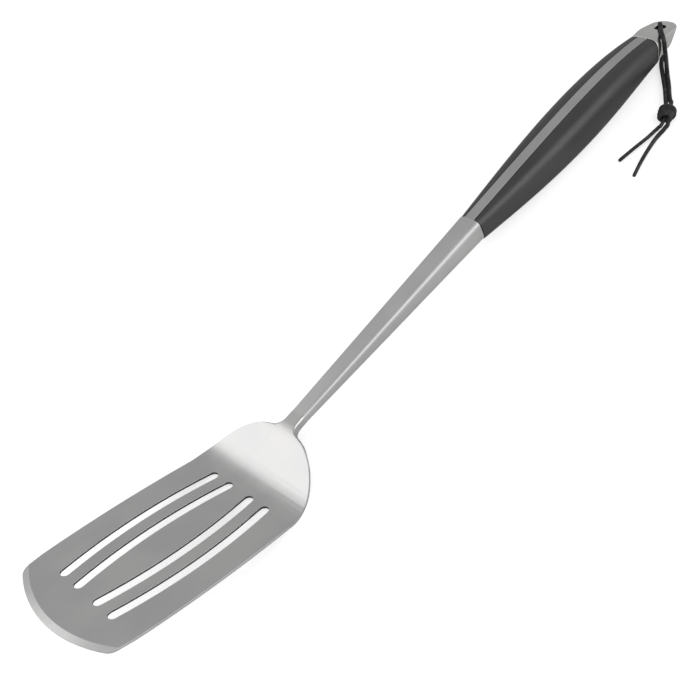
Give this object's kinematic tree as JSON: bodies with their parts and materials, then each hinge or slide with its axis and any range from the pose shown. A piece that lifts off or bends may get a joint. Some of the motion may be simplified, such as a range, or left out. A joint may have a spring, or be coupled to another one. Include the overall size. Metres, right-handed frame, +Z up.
{
  "type": "grill spatula",
  "caption": "Long grill spatula with a slotted, cranked steel head, a forged shank with a full tang, black handle scales and a knotted leather hanging thong.",
  "frame": {"origin": "On the table, under the middle of the steel and the scales, as the spatula rests on the heel of its head and the belly of its handle", "axes": "+X along the spatula from the front edge to the butt, +Z up from the table, +Y to the left seen from the front edge looking to the butt. The head tips up towards the front edge by about 18 degrees. The mirror plane of the steel and scales is y = 0"},
  "size_m": [0.4682, 0.0863, 0.0342],
  "materials": {
    "head_steel": "satin, grained across",
    "shank_steel": "satin",
    "cap_steel": "polished",
    "dowel_steel": "plain",
    "scale_black": "satin black moulding",
    "thong_leather": "matt"
  },
  "bodies": {
    "spatula": {"turner_head": "head_steel", "shank": "shank_steel", "butt_cap": "cap_steel", "scale_dowel_1": "dowel_steel", "scale_dowel_2": "dowel_steel", "scale_dowel_3": "dowel_steel", "left_scale": "scale_black", "right_scale": "scale_black"},
    "lanyard": {"thong_upper_strand": "thong_leather", "thong_lower_strand": "thong_leather", "thong_knot": "thong_leather", "thong_inner_tail": "thong_leather", "thong_outer_tail": "thong_leather"}
  },
  "joints": [
    {"name": "lanyard_swivel", "type": "hinge", "parent": "spatula", "child": "lanyard", "pos_m": [0.22478, 0, 0.0135], "axis": [0, 0, 1], "range_deg": [0, 280]}
  ]
}
